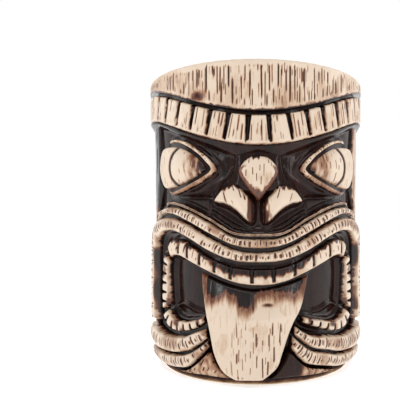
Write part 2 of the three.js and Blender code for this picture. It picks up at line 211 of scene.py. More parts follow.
LIP_TOP = [(0, 61.5), (10, 62.3), (20, 67.8), (30, 72.3), (40, 74.7), (50, 73.2), (56, 71)]
LIP_LINE = [(0, 54.6), (10, 55.8), (20, 60.2), (30, 65), (40, 68.4), (50, 68.3), (60, 65.6)]
TEETH_LINE = [(0, 47.5), (10, 48.2), (20, 51.5), (30, 56.5), (36, 59)]
TEETH_TOP = TEETH_LINE + [(41.5, 58.9), (46, 56.2)]
TEETH_FOOT = [(0, 40.3), (10, 41.5), (20, 45), (30, 49), (36, 51.2), (40.6, 51.6), (43, 50.4)]
LIP_SIDE = [(67.5, 60), (68.6, 52), (68.8, 42), (68.8, 32), (68.2, 21.5)]
MOUTH_SIDE = [(41, 62.2), (46.5, 62.2), (52, 60.4), (56.5, 55), (58.5, 45), (58.5, 33), (58.3, 21.5)]
INNER_LIP_OUTER = lifted(LIP_LINE, -LIP_GROOVE / 2) + LIP_SIDE
INNER_LIP_INNER = lifted(TEETH_LINE, MOUTH_GROOVE) + MOUTH_SIDE
SIDE_INNER = [(43.9, 49), (44.8, 44), (44.9, 38), (44.4, 33), (44.6, 30.2)]
SIDE_OUTER = [(48.3, 54.2), (50.2, 47.5), (50.7, 40), (51, 33), (50.6, 27.4)]
LOWER_START = {-1: 23.2, 1: 18.8}  # the tongue leans to the left
LOWER_FOOT = [(28, 21.9), (36, 19.8), (44.5, 20.6), (50.2, 25.4)]
LOWER_TOP = [(28, 26), (36, 24.9), (41.5, 25.9), (45, 28.8)]

TONGUE_LEFT = [(-9.2, 2.6), (-15.4, 6), (-19.2, 13), (-21.2, 22), (-23.4, 31), (-25.2, 38), (-26, 43)]
TONGUE_RIGHT = [(1.8, 2.6), (8.3, 8), (10.6, 14), (14.2, 24), (18.6, 31), (20.8, 36), (22.6, 41.6)]
TONGUE_ROOT = [(-26, 45.6), (-14, 41.6), (0, 39.4), (12, 41.2), (22.6, 44.4)]

LID_OUTER = [
    (46.5, 100.2), (41, 101.2), (33, 99.6), (25, 95), (20, 91),
    (17.4, 86.5), (24, 82), (32, 79), (40, 77.2), (46, 78.2),
]
LID_INNER = [
    (46, 98.9), (41, 99.4), (33.6, 97.7), (26.4, 93.6), (22.6, 90.2),
    (20.2, 86.9), (25.4, 83.8), (33, 80.9), (40, 79.2), (45.4, 79.7),
]
BALL_MIDDLE = (37, 89)
BALL = [
    (21.4, 87), (26, 84.9), (33, 82.2), (40, 80.4), (46.6, 80.6), (51.4, 88.6),
    (48.8, 97), (41.2, 98.3), (33.8, 96.6), (27, 92.7), (23.6, 90), (21.4, 87),
]
NOSE_MIDDLE = (0, 85)
NOSE_SIDE = [(3.5, 77.4), (7, 82.3), (8.6, 86), (6.3, 89.8), (2.7, 92.1)]
NOSE = closed_over((0, 73.6), NOSE_SIDE)
NOSTRIL_MIDDLE = (8.4, 75)
NOSTRIL = [
    (2.4, 64.3), (5.4, 66.6), (9.5, 70.4), (14, 72.9), (18.7, 74), (16.8, 77.4),
    (13.6, 80.2), (10.3, 81.3), (8.2, 80.6), (5.4, 77.7), (2.4, 74), (2, 69.5), (2.4, 64.3),
]
ROOT_SIDE = [(12, 77.5), (17.2, 78.4), (14.2, 82.5), (11.4, 86.5), (10.4, 91), (10.2, 95.2)]
NOSE_ROOT = closed_over((0, 77), ROOT_SIDE)
CHEEK_LOW = [(21, 69.5), (30, 73.3), (39, 75.5)]
CHEEK_HIGH = [(20.5, 75.6), (30, 76), (39, 76.5)]

JAW_LINES = [
    {-1: [(22.4, 23.4), (25, 22.4), (28.5, 21.2)], 1: [(15.4, 24.8), (19, 22.2), (24, 20.2)],
     0: [(33, 19.2), (40, 18.3), (46, 18), (52, 18.5), (60, 19.6), (68.6, 20.4)]},
    {-1: [(21.5, 18.6), (24, 16.6), (27, 14.6)], 1: [(14.4, 20.6), (18.8, 17), (23.8, 14)],
     0: [(31, 12.3), (38, 10.5), (45, 9.8), (52, 9.5), (60, 9.5), (68.6, 9.6)]},
    {-1: [(20.6, 15.4), (23.4, 12.4), (27.4, 9)], 1: [(13.2, 15.4), (16.8, 11), (21.8, 7.5)],
     0: [(33, 5), (40, 3.5), (46, 2.9), (52, 2.8), (60, 2.8), (68.6, 2.8)]},
]
FAN_NEAR = {
    -1: [(11.4, 2.6), (16.2, 6.4), (19, 10.4), (20.4, 13.6)],
    1: [(4.4, 2.6), (8.2, 6.4), (10.6, 10.6), (12.2, 14.4)],
}
FAN_FAR = {
    -1: [(41, 2.6), (34, 4.1), (27.2, 8.2), (21.6, 13.2)],
    1: [(41, 2.6), (31, 4.6), (21.4, 6.9), (13.8, 13.4)],
}
POCKET_LOW = [(25.5, 29.5), (33, 28), (42, 28.5)]
POCKET_HIGH = [(25.5, 45), (33, 48.5), (42, 50)]


# -------- from arrays to pieces

def spaced(count, crowd):
    """count + 1 places from 0 to 1, drawn towards both ends by the share `crowd`."""
    t = np.linspace(0.0, 1.0, count + 1)
    return mix(t, 0.5 - 0.5 * np.cos(np.pi * t), crowd)


def quads_of(index):
    """The faces of a grid of vertex numbers, facing along (first axis) x (second axis)."""
    a, b, c, d = index[:-1, :-1], index[1:, :-1], index[1:, 1:], index[:-1, 1:]
    return np.stack([a, b, c, d], axis=-1).reshape(-1, 4)


def turned_quads(shape, section_closed=False):
    """The faces of a section carried once round the axis. The section may be closed on itself too."""
    index = np.arange(shape[0] * shape[1]).reshape(shape)
    index = np.vstack([index, index[:1]])
    return quads_of(np.hstack([index, index[:, :1]]) if section_closed else index)


def placed(name, data):
    """A new object in the scene."""
    thing = bpy.data.objects.new(name, data)
    bpy.context.scene.collection.objects.link(thing)
    return thing


def make_piece(name, node, finish, points, quads, stain):
    """Puts points and faces into a mesh with a stain on each vertex, closes its poles, gives it its finish's
    material, and rides it on the mug."""
    mesh = bpy.data.meshes.new(name)
    mesh.vertices.add(len(points))
    mesh.vertices.foreach_set("co", points.astype(np.float32).ravel())
    mesh.loops.add(quads.size)
    mesh.loops.foreach_set("vertex_index", quads.astype(np.int32).ravel())
    mesh.polygons.add(len(quads))
    mesh.polygons.foreach_set("loop_start", np.arange(0, quads.size, 4, dtype=np.int32))
    mesh.polygons.foreach_set("use_smooth", np.ones(len(quads), bool))
    mesh.attributes.new("stain", "FLOAT", "POINT")
    mesh.attributes["stain"].data.foreach_set("value", np.clip(stain, 0, 1).astype(np.float32).ravel())
    mesh.update(calc_edges=True)
    work = bmesh.new()
    work.from_mesh(mesh)
    bmesh.ops.remove_doubles(work, verts=work.verts, dist=1e-6)
    work.to_mesh(mesh)
    work.free()
    mesh.materials.append(finish.material)
    piece, slot = placed(name, mesh), finish.slot
    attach(piece, "root")
    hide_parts(node)
    return piece


def shoulder(depth, width):
    """A quarter round: 0 at an edge, 1 from `width` inward."""
    t = np.clip(depth / width, 0.0, 1.0)
    return np.sqrt(1.0 - (1.0 - t) ** 2)


def deepest(*stains):
    """The darkest of several stains at each place."""
    return np.maximum.reduce(stains)


def edge_stain(depth, s, z, wide, seed=3.0):
    """Dark glaze along an edge, with a frayed border and a paler brown bloom inside it."""
    fray = 0.55 * (noise(s * 0.9, z * 0.9, seed) - 0.5) + 0.3 * (noise(s * 2.7, z * 2.7, seed + 1.0) - 0.5)
    inward = ease((depth - 0.3 * wide) / (0.9 + 1.2 * wide))
    bloom = 0.62 * noise(s / 1.9, z / 1.9, seed + 2.0) * (1.0 - inward)
    return np.maximum(1.0 - ease((depth + fray * wide - 0.12) / wide), bloom)


def two_skins(name, node, finish, outer, inner, stain, flipped, round_u=False):
    """Closes an outer and an inner grid that share their border, and makes them a piece."""
    front = np.arange(stain.size).reshape(stain.shape)
    if round_u:
        front = np.vstack([front, front[:1]])
    quads = np.vstack([quads_of(front), quads_of(front + stain.size)[:, ::-1]])
    points = np.vstack([outer.reshape(-1, 3), inner.reshape(-1, 3)])
    stains = np.concatenate([stain.ravel(), np.ones(stain.size)])
    return make_piece(name, node, finish, points, quads[:, ::-1] if flipped else quads, stains)


def skins(s, z, depth, top, edge, root, side):
    """The outer skin, which falls by a quarter round to the root along its edge, and the inner skin
    under it."""
    outer = on_mug(side * s, z, mix(root, top - SKIN_GAP, shoulder(depth, edge)))
    return outer, on_mug(side * s, z, root - BACKING * ease(depth / BACKING))


def steps_along(place, axis):
    """The length run along a grid's lines up to each of its places."""
    steps = np.linalg.norm(np.diff(place, axis=axis), axis=-1)
    start = np.zeros_like(np.take(steps, [0], axis=axis))
    return np.concatenate([start, np.cumsum(steps, axis=axis)], axis=axis)


def from_line(place, line, measure):
    """A measure of the squared distances from each place to a line's points, worked out in 40 lots."""
    return np.concatenate([
        measure(((some[:, None] - line) ** 2).sum(-1), axis=1) for some in np.array_split(place, 40)])


def beside_line(place, line):
    """How far along a line the nearest point to each place lies."""
    run = steps_along(line, 0)
    flat = place.reshape(-1, 2)
    nearest = from_line(flat, line, np.argmin)
    step = line[np.minimum(nearest + 1, len(line) - 1)] - line[np.maximum(nearest - 1, 0)]
    step /= np.linalg.norm(step, axis=-1, keepdims=True)
    return (run[nearest] + ((flat - line[nearest]) * step).sum(-1)).reshape(place.shape[:-1])


def out_to(node):
    """How far a CAD node reaches from the mug's axis, in millimetres."""
    corners = np.array([v.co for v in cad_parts[node].data.vertices], float)
    return float(np.hypot(corners[:, 0], corners[:, 1]).max()) * MM


def raised_slab(name, node, finish, sheet, size, carve, edge=1.2, side=1):
    """A raised band. sheet gives its place on the drawing from u and v, and carve how far its surface falls
    below the CAD node's reach, and its stain.

    along is measured on the band's middle line, so that what is cut across the band stands square to it.
    depth is the distance from the nearest edge.
    """
    u, v = np.meshgrid(spaced(size[0], 0.25), spaced(size[1], 0.6), indexing="ij")
    place = sheet(u, v)
    s, z = place[..., 0], place[..., 1]
    reach, across = steps_along(place, 0), steps_along(place, 1)
    depth = np.minimum(across, across[:, -1:] - across)
    depth = np.minimum(depth, np.minimum(reach, reach[-1:] - reach))
    middle = np.linspace(0, 1, 400)
    along = beside_line(place, sheet(middle, 0 * middle + 0.5))
    fall, stain = carve(s=s, z=z, u=u, v=v, along=along, across=across, depth=depth)
    outer, inner = skins(s, z, depth, out_to(node) - fall, edge, cup_radius(z) - SINK, side)
    return two_skins(name, node, finish, outer, inner, stain, flipped=side < 0)


def raised_pad(name, node, finish, outline, middle, size, carve, edge, side=1):
    """A raised pad with a free outline. The grid runs round the outline and outward from the middle: each
    place is straight from one to the other."""
    turn, share = np.meshgrid(np.linspace(0, 1, size[0] + 1)[:-1], spaced(size[1], 0.5), indexing="ij")
    spoke = curve(outline, turn) - np.asarray(middle, float)
    place = np.asarray(middle, float) + spoke * share[..., None]
    s, z = place[..., 0], place[..., 1]
    depth = np.sqrt(from_line(place.reshape(-1, 2), curve(outline, np.linspace(0, 1, 300)), np.min))
    depth = np.where(share < 1, depth.reshape(s.shape), 0)
    fall, stain = carve(s=s, z=z, share=share, depth=depth)
    outer, inner = skins(s, z, depth, out_to(node) - fall, edge, cup_radius(z) - SINK, side)
    return two_skins(name, node, finish, outer, inner, stain, flipped=side > 0, round_u=True)


# -------- finishes

def linear(red, green, blue):
    """A colour given as 0 to 255 on a screen, as the shader's linear numbers."""
    c = np.array([red, green, blue]) / 255.0
    return (*np.where(c <= 0.04045, c / 12.92, ((c + 0.055) / 1.055) ** 2.4), 1.0)


class Finish:
    """A material with a Principled shader, the slot that it fills, and short ways to add nodes to it."""

    def __init__(self, name, roughness, coat=0.0):
        self.slot = name
        self.material = bpy.data.materials.new(name)
        self.material.use_nodes = True
        self.nodes = self.material.node_tree.nodes
        self.links = self.material.node_tree.links
        self.shader = self.nodes["Principled BSDF"]
        self.shader.inputs["Roughness"].default_value = roughness
        self.shader.inputs["IOR"].default_value = 1.5
        self.shader.inputs["Coat Weight"].default_value = coat
        self.shader.inputs["Coat Roughness"].default_value = 0.05
        self.place = self.add("ShaderNodeTexCoord").outputs["Object"]

    def add(self, kind, **settings):
        node = self.nodes.new(kind)
        for key, value in settings.items():
            setattr(node, key, value)
        return node

    def join(self, source, target):
        """Feeds an input from a node's output or sets it to a number."""
        if isinstance(source, (int, float)):
            target.default_value = source
        else:
            self.links.new(source, target)

    def math(self, operation, a, b):
        node = self.add("ShaderNodeMath", operation=operation)
        self.join(a, node.inputs[0])
        self.join(b, node.inputs[1])
        return node.outputs[0]

    def sway(self, value, field, amount):
        """A value moved up and down by a field's distance from its middle."""
        return self.math("ADD", value, self.math("MULTIPLY", self.math("SUBTRACT", field, 0.5), amount))

    def noise(self, scale, stretch=(1, 1, 1), detail=4.0, roughness=0.55):
        """Noise from 0 to 1, with `scale` grains in a millimetre before the stretch."""
        mapping = self.add("ShaderNodeMapping")
        mapping.inputs["Scale"].default_value = [scale * MM * k for k in stretch]
        self.links.new(self.place, mapping.inputs["Vector"])
        node = self.add("ShaderNodeTexNoise")
        node.inputs["Scale"].default_value = 1.0
        node.inputs["Detail"].default_value = detail
        node.inputs["Roughness"].default_value = roughness
        self.links.new(mapping.outputs["Vector"], node.inputs["Vector"])
        return node.outputs["Fac"]

    def stain(self):
        return self.add("ShaderNodeAttribute", attribute_name="stain").outputs["Fac"]

    def ramp(self, value, stops):
        """The colour at a value, eased from one stop to the next."""
        node = self.add("ShaderNodeValToRGB")
        node.color_ramp.interpolation = "EASE"
        for element, (place, colour) in zip(node.color_ramp.elements, (stops[0], stops[-1])):
            element.position, element.color = place, colour
        for place, colour in stops[1:-1]:
            node.color_ramp.elements.new(place).color = colour
        self.links.new(value, node.inputs["Fac"])
        return node.outputs["Color"]

    def bump(self, height, distance, strength):
        node = self.add("ShaderNodeBump")
        node.inputs["Strength"].default_value = strength
        node.inputs["Distance"].default_value = distance / MM
        self.links.new(height, node.inputs["Height"])
        self.links.new(node.outputs["Normal"], self.shader.inputs["Normal"])


SAND = linear(211, 192, 172)
SAND_SHADE = linear(196, 169, 144)
HONEY = linear(156, 118, 92)
BROWN = linear(100, 58, 40)
DARK = linear(42, 22, 17)
BLACK = linear(17, 9, 8)


def stained_glaze(name, stops, streak=0.17, blotch=0.16, base=0.0):
    """Clear glaze over a brown stain: the stain's depth, broken up by fine upright streaks and soft
    blotches, picks the colour. The glaze is smoother where the stain is deeper."""
    finish = Finish(name, roughness=0.3, coat=0.12)
    finish.shader.inputs["Specular IOR Level"].default_value = 0.4
    streaks = finish.noise(0.9, stretch=(1, 1, 0.16), detail=5.0, roughness=0.6)
    blotches = finish.noise(0.11, stretch=(1, 1, 0.7), detail=4.0, roughness=0.6)
    grain = finish.noise(2.6, stretch=(1, 1, 0.5), detail=3.0)
    depth = finish.math("ADD", finish.stain(), base)
    for field, amount in ((streaks, streak), (blotches, blotch), (grain, 0.06)):
        depth = finish.sway(depth, field, amount * 2)
    finish.links.new(finish.ramp(depth, stops), finish.shader.inputs["Base Color"])
    gloss = finish.math("SUBTRACT", 0.36, finish.math("MULTIPLY", depth, 0.2))
    finish.links.new(gloss, finish.shader.inputs["Roughness"])
    finish.bump(finish.noise(0.55, detail=4.0), distance=0.06, strength=0.5)
    return finish


def sand_glaze():
    return stained_glaze("sand_glaze", [
        (0.0, SAND), (0.1, SAND), (0.24, SAND_SHADE), (0.42, HONEY), (0.58, BROWN), (0.76, DARK),
        (1.0, BLACK)])


def bark_glaze():
    return stained_glaze("bark_glaze", [
        (0.0, SAND), (0.12, SAND_SHADE), (0.4, HONEY), (0.58, BROWN), (0.78, DARK), (1.0, BLACK)],
        streak=0.2, blotch=0.2, base=0.03)


def dark_glaze(name="dark_glaze"):
    """Brown glaze pooled nearly black, with thinner brown veils and fine upright streaks in it."""
    finish = Finish(name, roughness=0.12)
    finish.shader.inputs["Specular IOR Level"].default_value = 0.22
    veils = finish.noise(0.3, stretch=(1, 1, 0.3), detail=5.0)
    streaks = finish.noise(1.1, stretch=(1, 1, 0.12), detail=4.0)
    depth = finish.sway(finish.sway(finish.stain(), veils, 0.5), streaks, 0.35)
    colour = finish.ramp(depth, [
        (0.0, SAND), (0.14, SAND_SHADE), (0.34, HONEY), (0.54, BROWN), (0.74, DARK), (1.0, BLACK)])
    finish.links.new(colour, finish.shader.inputs["Base Color"])
    ripple = finish.math("ADD", finish.noise(0.4, detail=3.0), finish.math("MULTIPLY", streaks, 0.5))
    finish.bump(ripple, distance=0.1, strength=0.6)
    return finish


def bare_clay():
    """Unglazed clay, with the dark glaze above it on the foot's outside."""
    finish = Finish("bare_clay", roughness=0.88)
    speck = finish.noise(1.6, detail=6.0, roughness=0.7)
    wear = finish.noise(0.12, detail=2.0)
    shade = finish.math("ADD", finish.math("MULTIPLY", speck, 0.5), finish.math("MULTIPLY", wear, 0.5))
    shade = finish.math("SUBTRACT", shade, finish.math("MULTIPLY", finish.stain(), 0.6))
    colour = finish.ramp(shade, [
        (0.0, DARK), (0.12, BROWN), (0.3, linear(150, 124, 96)), (0.5, linear(196, 172, 140)),
        (0.7, linear(214, 196, 168))])
    finish.links.new(colour, finish.shader.inputs["Base Color"])
    finish.bump(speck, distance=0.12, strength=0.7)
    return finish


# -------- the cup, its ground and its foot

def outline_of(sheet, count=60):
    """The closed outline of a sheet, once round its four sides."""
    t = np.linspace(0, 1, count)
    zero, one = np.zeros(count), np.ones(count)
    sides = [sheet(t, zero), sheet(one, t), sheet(t[::-1], one), sheet(zero, t[::-1])]
    return np.vstack(sides)


def inside(outline, s, z):
    """1 within a closed outline and 0 outside it: a point is within if a line to its right crosses it an odd
    number of times."""
    crossed = np.zeros(s.shape, bool)
    for (s0, z0), (s1, z1) in zip(outline, np.roll(outline, -1, axis=0)):
        if z0 != z1:
            crossed ^= ((z0 > z) != (z1 > z)) & (s < s0 + (z - z0) * (s1 - s0) / (z1 - z0))
    return crossed.astype(float)


def softened(field, width):
    """A field blurred by a bell curve `width` cells wide, first along one axis and then along the other."""
    reach = int(3 * width)
    bell = np.exp(-0.5 * (np.arange(-reach, reach + 1) / width) ** 2)
    bell /= bell.sum()
    for axis in (0, 1):
        padded = np.pad(field, [(reach, reach) if i == axis else (0, 0) for i in (0, 1)], mode="edge")
        field = sum(
            weight * np.take(padded, np.arange(field.shape[axis]) + shift, axis=axis)
            for shift, weight in enumerate(bell))
    return field


GROUND_REACH, GROUND_STEP = 85, 0.5
GROUND_RISE, GROUND_HOLLOW = 1.7, 1.1  # how far the ground runs up to a raised piece, and over what width
POCKET_SINK = 3.0
LEDGE_LOW, LEDGE_RISE = 1.5, 1.9
RIDGE_WIDTH = 0.75
CREASE = [(0, 93), (6, 92.4), (9, 92), (20, 96), (30, 99.5), (38, 102.2), (46, 105.5), (54, 108.5)]


def jaw_sheet(index, side):
    """A jaw band, between two of the jaw's lines."""
    low, high = (JAW_LINES[i][side] + JAW_LINES[i][0] for i in (index + 1, index))
    return between(lifted(low, SEAM / 2), lifted(high, -SEAM / 2))


def lower_teeth_sheet(side):
    """The lower teeth, which start at the tongue's side."""
    start = LOWER_START[side]
    return between([(start, 25)] + LOWER_FOOT, [(start, 28)] + LOWER_TOP)


def tongue_sheet(u, v):
    """Straight across from one side of the tongue to the other, lifted at its root to follow the teeth."""
    flat = beside(TONGUE_LEFT, TONGUE_RIGHT)
    place = flat(u, v)
    rise = (curve(TONGUE_ROOT, u)[..., 1] - flat(u, np.ones_like(u))[..., 1]) * np.clip(2 * v - 1, 0, 1)
    return np.stack([place[..., 0], place[..., 1] + rise], axis=-1)


NOSE_RIDGE = [(19.6, 71.4), (17.8, 76.6), (15.6, 80.6), (12.4, 83.4), (10.4, 87)]
MOUTH_RIDGE = [(43, 30), (39.5, 31.2), (35.5, 30.6), (32, 29.4), (27, 28.6)]
RIDGES = [  # thin raised lines on the dark ground: how high each is, and its places
    (0.9, both_halves([(0, 62.9), (5, 63.8), (11, 66.4), (19.8, 71.4)])),
    (0.7, NOSE_RIDGE), (0.7, mirrored(NOSE_RIDGE)), (1.3, MOUTH_RIDGE), (1.3, mirrored(MOUTH_RIDGE)),
]


def ground_lift():
    """How far the cup's surface stands off its plain taper, on a grid over the face.

    The surface runs up to each raised piece in a hollow curve, steps down into the two mouth corners, makes a
    ledge under the headband, and carries a few thin ridges.
    """
    s = np.arange(-GROUND_REACH, GROUND_REACH + 0.1, GROUND_STEP)
    s, z = np.meshgrid(s, np.arange(0, SHEET_TOP + 1, GROUND_STEP), indexing="ij")
    raised = np.zeros(s.shape)
    t = np.linspace(0, 1, 90)
    for side in (-1, 1):
        outlines = [curve(LID_OUTER, t), curve(BALL, t), curve(NOSTRIL, t)]
        outlines += [outline_of(sheet) for sheet in (
            between(CHEEK_LOW, CHEEK_HIGH), jaw_sheet(0, side), jaw_sheet(1, side),
            lower_teeth_sheet(side), between(SIDE_INNER, SIDE_OUTER))]
        for outline in outlines:
            raised = np.maximum(raised, inside(outline * (side, 1), s, z))
    both = [(lifted(LIP_LINE, 0.5), LIP_TOP), (INNER_LIP_INNER, INNER_LIP_OUTER), (TEETH_FOOT, TEETH_TOP)]
    for low, high in both:
        outline = outline_of(between(both_halves(low), both_halves(high)), 140)
        raised = np.maximum(raised, inside(outline, s, z))
    raised = np.maximum(raised, inside(outline_of(tongue_sheet), s, z))
    lift = GROUND_RISE * ease(2.0 * softened(raised, GROUND_HOLLOW / GROUND_STEP))
    pocket = outline_of(between(POCKET_LOW, POCKET_HIGH))
    pockets = inside(mirrored(pocket), s, z) + inside(pocket, s, z)
    lift -= POCKET_SINK * ease(softened(pockets, GROUND_HOLLOW / GROUND_STEP))
    crease = np.interp(np.abs(s), *np.array(CREASE).T)
    ledge = LEDGE_LOW + LEDGE_RISE * np.clip((z - crease) / (band_foot(s) - crease), 0, 1.2)
    lift = np.maximum(lift, ledge * ease((z - crease + 0.5) / 1.0))
    for height, points in RIDGES:
        line = curve(points, np.linspace(0, 1, 80))
        far = np.sqrt(np.min([(s - a) ** 2 + (z - b) ** 2 for a, b in line], axis=0))
        lift += height * np.exp(-(far / RIDGE_WIDTH) ** 2)
    return lift * ease((band_foot(s) + 1.2 - z) / 1.2)


LIFT = ground_lift()


def lift_at(s, z):
    """The ground's lift at any place of the face, straight between the grid's own places."""
    x = np.clip((s + GROUND_REACH) / GROUND_STEP, 0, LIFT.shape[0] - 1.001)
    y = np.clip(z / GROUND_STEP, 0, LIFT.shape[1] - 1.001)
    i, j = x.astype(int), y.astype(int)
    low = mix(LIFT[i, j], LIFT[i + 1, j], x - i)
    return mix(low, mix(LIFT[i, j + 1], LIFT[i + 1, j + 1], x - i), y - j)


RIM_INSIDE = 45.6
GLAZE_LINE = 7.0  # the rolled rim reaches this far down inside
UNDERSIDE = [(0, 2.3), (20, 2.3), (39.6, 2.3), (40.6, 2.5), (42.2, 3.7), (43, 4.9)]
WALL_LOW, WALL_HIGH = 5.2, 125.0
DRINKING_SPACE = [
    (45.75, 125), (45.6, 122), (43.4, 117.5), (41.1, 108), (40.3, 96), (39.5, 76), (38.2, 62),
    (36.8, 40), (35.7, 17.5),
]
FLOOR_CORNER, CORNER_ROUND = (26.6, 16.9), 9.1
FLOOR = [(13, 7.8), (0, 7.8)]
FACE_REACH = 72  # the grid is fine out to here on both sides


def cup(finish):
    """The cup: a turned section, carried round the axis, whose outer wall follows the ground behind the face.

    The section runs from the middle of the underside, out to the wall, up, over, and down the inside to the
    middle of the floor.
    """
    coarse = np.arange(FACE_REACH, FULL_ROUND - FACE_REACH, 2.4)
    s = np.concatenate([np.arange(-FACE_REACH, FACE_REACH, 0.6), coarse])[:, None]
    up = np.arange(WALL_LOW, WALL_HIGH + 0.01, 0.62)
    turn = np.linspace(0, np.pi / 2, 12)
    corner = FLOOR_CORNER + CORNER_ROUND * np.stack([np.cos(turn), -np.sin(turn)], axis=-1)
    inner = np.vstack([curve(DRINKING_SPACE, np.linspace(0, 1, 46)), corner, FLOOR])
    radius, z = np.vstack([UNDERSIDE, np.stack([cup_radius(up), up], axis=-1), inner]).T
    wall_end = len(UNDERSIDE) + len(up)
    number = np.arange(len(z))
    on_wall = (number >= len(UNDERSIDE)) & (number < wall_end)
    arc = np.where(s > HALF_ROUND, s - FULL_ROUND, s) + 0 * z
    z = z + 0 * s
    facing = ease((80 - np.abs(arc)) / 8)
    bark = scratches(arc, z, 21.0, 2.6, 16, 0.6, 0.4) * (1 - facing)
    r = radius + on_wall * (facing * lift_at(arc, z) - 0.3 * bark)
    wave = noise(arc / 9, z / 30, 31.0) - 0.5
    down = ease((z - 112 + 5 * wave) / 8)
    outside_stain = 0.92 - 0.12 * noise(arc / 3, z / 7, 5.0)
    stain = np.where(number >= wall_end, mix(0.82, 0.62, down) + 0.2 * wave, outside_stain)
    points = on_mug(arc, z, r).reshape(-1, 3)
    return make_piece("cup_body", "cup", finish, points, turned_quads(arc.shape), stain)


def foot_ring(finish):
    """The bare clay ring under the cup: a rounded flat section carried round the axis, slightly uneven."""
    turned = np.linspace(-HALF_ROUND, HALF_ROUND, 241)[:-1, None] / SHEET_RADIUS
    inner, outer, round_off = FOOT_OUTER - 7.0, FOOT_OUTER - SKIN_GAP, 0.8
    turn = np.linspace(-np.pi / 2, 0, 6)
    across, up = round_off * np.cos(turn), round_off + round_off * np.sin(turn)
    right = np.stack([outer - round_off + across, up], axis=-1)
    left = np.stack([inner + round_off - across, up], axis=-1)[::-1]
    flat = np.stack([np.linspace(inner + round_off, outer - round_off, 8)[1:-1], np.zeros(6)], axis=-1)
    section = np.vstack([left, flat, right, [(outer, 2.6), (outer - 2, 3.2), (inner, 3.2)]])
    wave = noise(turned * SHEET_RADIUS / 6, section[:, 1] / 2, 41.0) - 0.5
    r = section[:, 0] + 0.08 * wave * (section[:, 1] > 0.01)
    points = np.stack([r * np.sin(turned), -r * np.cos(turned), section[:, 1] + 0 * r], axis=-1) / MM
    glazed = ease((section[:, 1] - 0.5) / 0.6) * ease((r - inner - 4) / 1.5)
    return make_piece("foot_ring_clay", "foot_ring", finish, points.reshape(-1, 3),
                      turned_quads(r.shape, section_closed=True), glazed)


# -------- bands round the whole mug

def hair_crown(finish):
    """The scratched hair under the rim, and the rim rolled over to the inside: a section closed on itself,
    carried round the axis, whose lower edge follows the headband."""
    s = np.linspace(-HALF_ROUND, HALF_ROUND, 901)[:-1, None]
    foot = crown_line(s) + CROWN_GROOVE / 2
    outer, top = out_to("hair_crown") - SKIN_GAP, SHEET_TOP
    soft, roll, tuck = 0.9, 1.1, 2.0
    turn = np.linspace(0, np.pi / 2, 8)
    zero = 0 * foot
    wall = foot + soft + (top - roll - foot - soft) * np.linspace(0, 1, 42)
    bottom = np.linspace(0, np.pi / 2, 5)[:-1]
    inward = np.linspace(top - tuck, top - GLAZE_LINE, 6)[1:]
    parts = [
        (outer - soft + soft * np.sin(bottom) + zero, foot + soft - soft * np.cos(bottom)),
        (outer + 0 * wall, wall),
        (outer - roll + roll * np.cos(turn[1:]) + zero, top - roll + roll * np.sin(turn[1:]) + zero),
        (np.linspace(outer - roll, RIM_INSIDE + tuck, 5)[1:] + zero, top + zero + np.zeros(4)),
        (RIM_INSIDE + tuck - tuck * np.sin(turn[1:]) + zero, top - tuck + tuck * np.cos(turn[1:]) + zero),
        (RIM_INSIDE + 0 * inward + zero, inward + zero),
        (np.array([46.8, 46.8]) + zero, np.hstack([top - GLAZE_LINE - 0.6 + zero, foot + 0.4])),
    ]
    r, z = (np.hstack([part[i] for part in parts]) for i in (0, 1))
    arc = s + 0 * r
    outside = ease((r - outer + 0.6) / 0.5)
    rise = z - foot
    ragged = 2.0 * noise(arc / 1.4, 0 * z, 16.0)
    cut = crown_cuts(arc, z) * outside * ease((rise - 0.8) / 2.0) * ease((top - 0.5 - ragged - z) / 1.2)
    groove = edge_stain(rise, arc, z, wide=1.0) * (r > 46)
    smudge = 0.42 * noise(arc / 5, z / 9, 12.0) * ease((20 - rise) / 16) * outside
    spot = np.exp(-((arc + 25) / 4.0) ** 2 - ((z - 116.5) / 2.8) ** 2)
    blotch = spot * mix(0.45, 0.95, noise(arc / 1.1, z / 2.5, 14.0)) * outside
    pooled = ease((top - 4.5 - z + 1.5 * noise(arc / 7, 0 * z, 8.0)) / 2.5)
    pooled *= ease((RIM_INSIDE + 0.8 - r) / 0.6)
    stain = deepest(0.96 * cut, groove, smudge, blotch, pooled)
    points = on_mug(arc, z, r - 0.32 * cut).reshape(-1, 3)
    return make_piece("hair_crown_clay", "hair_crown", finish, points,
                      turned_quads(r.shape, section_closed=True), stain)


def crown_cuts(s, z):
    """Bold, middling and fine upright cuts in the hair."""
    bold = scratches(s, z, 51.0, 2.2, 30.0, 0.92, 0.32)
    middling = scratches(s + 1.3, z, 57.0, 1.6, 20.0, 0.88, 0.24)
    fine = scratches(s + 0.4, z, 53.0, 1.1, 10.0, 0.75, 0.18)
    return deepest(bold, 0.9 * middling, 0.65 * fine)


PLANKS = 40
PLANK_LEAN = 2.2


